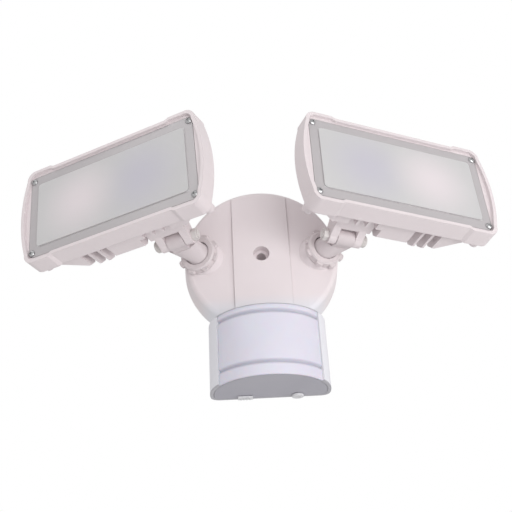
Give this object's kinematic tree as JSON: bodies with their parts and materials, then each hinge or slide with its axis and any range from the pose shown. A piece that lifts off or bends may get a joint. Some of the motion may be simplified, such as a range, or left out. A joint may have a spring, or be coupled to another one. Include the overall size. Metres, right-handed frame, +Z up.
{
  "type": "motion sensor security light",
  "caption": "Outdoor wall light with twin rectangular LED heads on tilting ball-joint arms, a round canopy and a wide half-round motion sensor hanging below.",
  "frame": {"origin": "centre of the canopy's back edge on the wall, on the axis of the mounting bore", "axes": "+X to the right of a person who faces the light, +Y into the wall, +Z up"},
  "size_m": [0.3576, 0.1063, 0.1992],
  "materials": {
    "white_plastic": "fine moulded texture, satin",
    "white_cast_metal": "die cast, white powder coat, satin",
    "grey_plastic": "moulded, matt",
    "zinc_steel": "zinc plated",
    "stainless_steel": "machined",
    "foam_rubber": "closed cell foam, matt",
    "black_rubber": "matt",
    "seal_rubber": "matt silicone",
    "board": "solder mask, satin",
    "transformer_tape": "tape over ferrite",
    "capacitor_sleeve": "shrink sleeve",
    "relay_case": "moulded case",
    "fresnel_plastic": "translucent lens, satin",
    "black_plastic": "moulded",
    "detector_can": "nickel plated can",
    "frosted_lens": "frosted polycarbonate, clear flange",
    "reflector_white": "white reflector",
    "led_board_aluminium": "white solder mask on metal core",
    "led_phosphor": "phosphor over the chips"
  },
  "bodies": {
    "light_body": {"canopy_housing": "white_plastic", "wiring_tray": "grey_plastic", "tray_screws": "zinc_steel", "wall_gasket": "foam_rubber", "wire_grommet": "black_rubber", "driver_board": "board", "driver_transformer": "transformer_tape", "driver_capacitors": "capacitor_sleeve", "relay": "relay_case", "sensor_lens": "fresnel_plastic", "sensor_bottom_cover": "white_plastic", "switch_body": "black_plastic", "potentiometer": "black_plastic", "control_board": "board", "pir_board": "board", "pir_detector": "detector_can"},
    "arm_left": {"arm_left": "white_cast_metal"},
    "head_left": {"head_housing_left": "white_cast_metal", "head_lens_left": "frosted_lens", "lens_gasket_left": "seal_rubber", "lens_screws_left": "stainless_steel", "reflector_left": "reflector_white", "led_board_left": "led_board_aluminium", "leds_left": "led_phosphor", "hinge_bolt_left": "zinc_steel", "hinge_nut_left": "zinc_steel"},
    "lock_ring_left": {"lock_ring_left": "white_plastic"},
    "arm_right": {"arm_right": "white_cast_metal"},
    "head_right": {"head_housing_right": "white_cast_metal", "head_lens_right": "frosted_lens", "lens_gasket_right": "seal_rubber", "lens_screws_right": "stainless_steel", "reflector_right": "reflector_white", "led_board_right": "led_board_aluminium", "leds_right": "led_phosphor", "hinge_bolt_right": "zinc_steel", "hinge_nut_right": "zinc_steel"},
    "lock_ring_right": {"lock_ring_right": "white_plastic"},
    "time_switch": {"time_switch": "black_plastic"},
    "range_dial": {"range_dial": "black_plastic"}
  },
  "joints": [
    {"name": "arm_left_swivel", "type": "hinge", "parent": "light_body", "child": "arm_left", "pos_m": [-0.0468, -0.027, 0.0004], "axis": [-0.3746, -0.9272, 0], "range_deg": [-15, 40]},
    {"name": "head_left_tilt", "type": "hinge", "parent": "arm_left", "child": "head_left", "pos_m": [-0.06217, -0.04555, 0.00428], "axis": [0.9094, -0.4087, 0.0766], "range_deg": [-12, 65]},
    {"name": "lock_ring_left_turn", "type": "hinge", "parent": "light_body", "child": "lock_ring_left", "pos_m": [-0.0468, -0.027, 0.0004], "axis": [-0.3746, -0.9272, 0], "range_deg": [-45, 45]},
    {"name": "arm_right_swivel", "type": "hinge", "parent": "light_body", "child": "arm_right", "pos_m": [0.0468, -0.027, 0.0004], "axis": [0.3746, -0.9272, 0], "range_deg": [-40, 15]},
    {"name": "head_right_tilt", "type": "hinge", "parent": "arm_right", "child": "head_right", "pos_m": [0.06058, -0.04713, -0.00042], "axis": [0.9382, 0.3417, -0.0551], "range_deg": [-12, 65]},
    {"name": "lock_ring_right_turn", "type": "hinge", "parent": "light_body", "child": "lock_ring_right", "pos_m": [0.0468, -0.027, 0.0004], "axis": [0.3746, -0.9272, 0], "range_deg": [-45, 45]},
    {"name": "time_switch_slide", "type": "slide", "parent": "light_body", "child": "time_switch", "axis": [1, 0, 0], "range_m": [-0.003, 0.003]},
    {"name": "range_dial_turn", "type": "hinge", "parent": "light_body", "child": "range_dial", "pos_m": [0.0182, -0.0404, -0.1153], "axis": [0, 0, 1], "range_deg": [-135, 135]}
  ]
}
